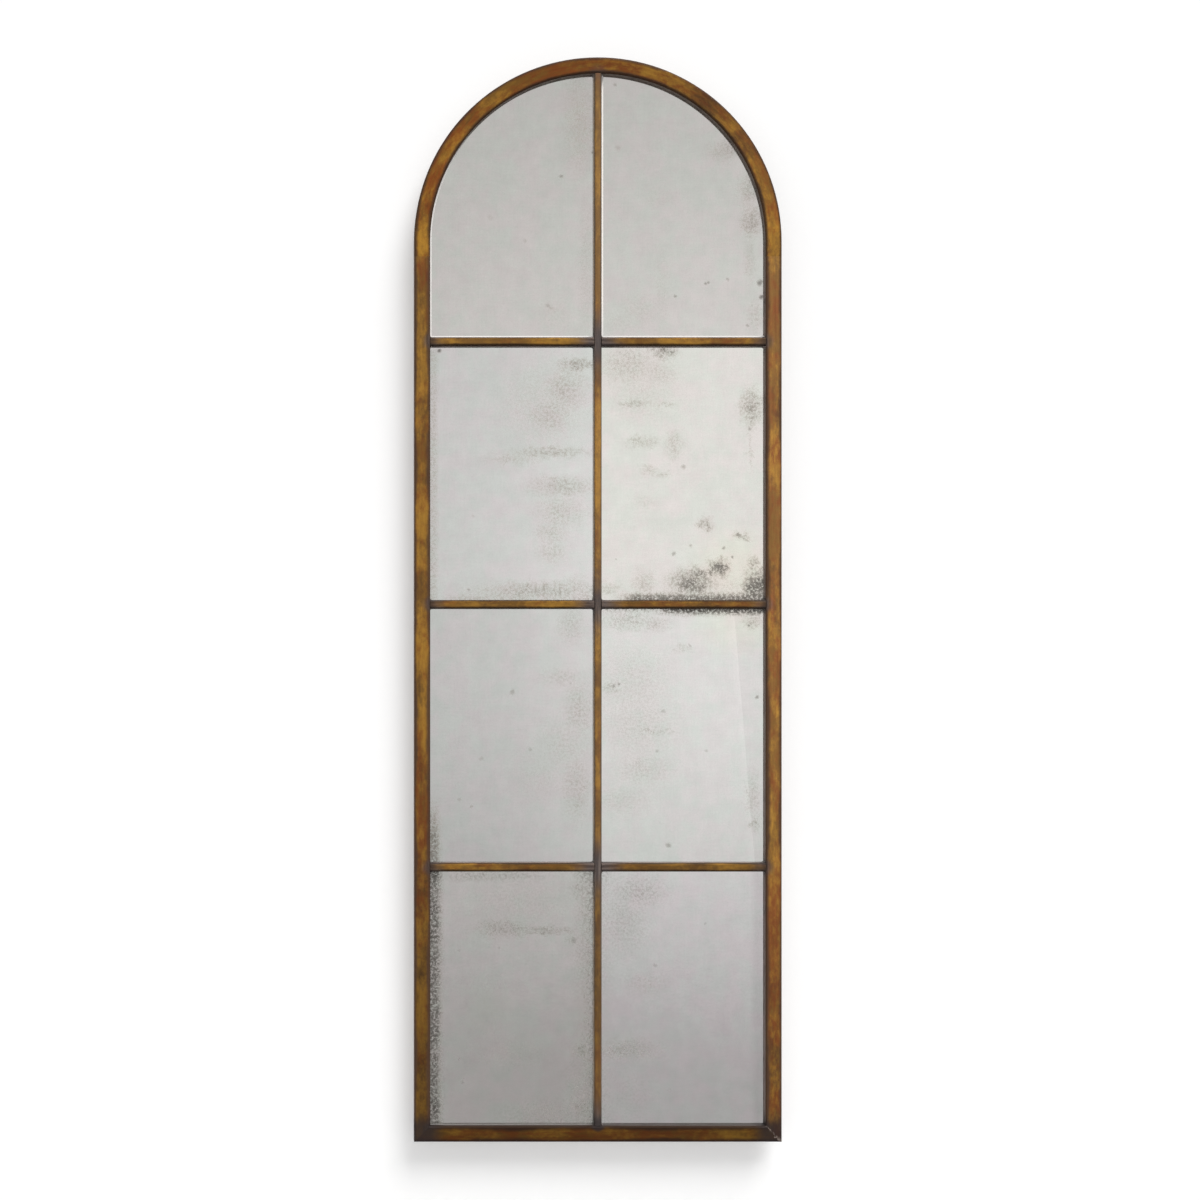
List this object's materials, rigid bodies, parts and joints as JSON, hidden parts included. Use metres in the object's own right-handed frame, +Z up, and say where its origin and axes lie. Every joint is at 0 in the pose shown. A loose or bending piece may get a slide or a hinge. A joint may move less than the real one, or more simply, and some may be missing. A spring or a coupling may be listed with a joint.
{
  "type": "arched mirror",
  "caption": "Tall arched wall mirror: antiqued panes behind a grid of bars in a welded steel frame, with a backing board and swinging hanging rings.",
  "frame": {"origin": "middle of the bottom edge, in the wall plane that the rubber bumpers touch", "axes": "+Z up along the mirror, +Y into the wall so the mirror faces -Y, +X to the right seen from the front"},
  "size_m": [0.706, 0.0355, 2.083],
  "materials": {
    "frame_finish": "brushed antique gold-brown over dark bronze, satin",
    "weld_finish": "burnished grey-brown welds, satin",
    "bare_steel": "mill finish",
    "antique_mirror": "antiqued silvering with foxing",
    "foam_tape": "closed-cell foam",
    "backing_fibreboard": "sanded fibreboard",
    "plated_steel": "zinc plated",
    "screw_steel": "yellow zinc plated",
    "ring_steel": "nickel plated wire",
    "bumper_rubber": "matte black rubber"
  },
  "bodies": {
    "mirror": {"left_stile": "frame_finish", "right_stile": "frame_finish", "bottom_rail": "frame_finish", "arch_head": "frame_finish", "centre_mullion": "frame_finish", "muntin_lower_left": "frame_finish", "muntin_middle_left": "frame_finish", "muntin_upper_left": "frame_finish", "muntin_lower_right": "frame_finish", "muntin_middle_right": "frame_finish", "muntin_upper_right": "frame_finish", "weld_fillets": "weld_finish", "corner_keys": "bare_steel", "arch_spigots": "bare_steel", "pane_lower_left": "antique_mirror", "pane_middle_left": "antique_mirror", "pane_upper_left": "antique_mirror", "pane_arch_left": "antique_mirror", "pane_lower_right": "antique_mirror", "pane_middle_right": "antique_mirror", "pane_upper_right": "antique_mirror", "pane_arch_right": "antique_mirror", "mounting_tape": "foam_tape", "backing_board": "backing_fibreboard", "retaining_plates": "plated_steel", "hanger_strap_left": "plated_steel", "hanger_strap_right": "plated_steel", "plate_screws": "screw_steel", "hanger_screws": "screw_steel", "wall_bumpers": "bumper_rubber"},
    "ring_left": {"hang_ring_left": "ring_steel"},
    "ring_right": {"hang_ring_right": "ring_steel"}
  },
  "joints": [
    {"name": "ring_left_swing", "type": "hinge", "parent": "mirror", "child": "ring_left", "pos_m": [-0.3405, -0.00475, 1.59], "axis": [1, 0, 0], "range_deg": [0, 180]},
    {"name": "ring_right_swing", "type": "hinge", "parent": "mirror", "child": "ring_right", "pos_m": [0.3405, -0.00475, 1.59], "axis": [1, 0, 0], "range_deg": [0, 180]}
  ]
}
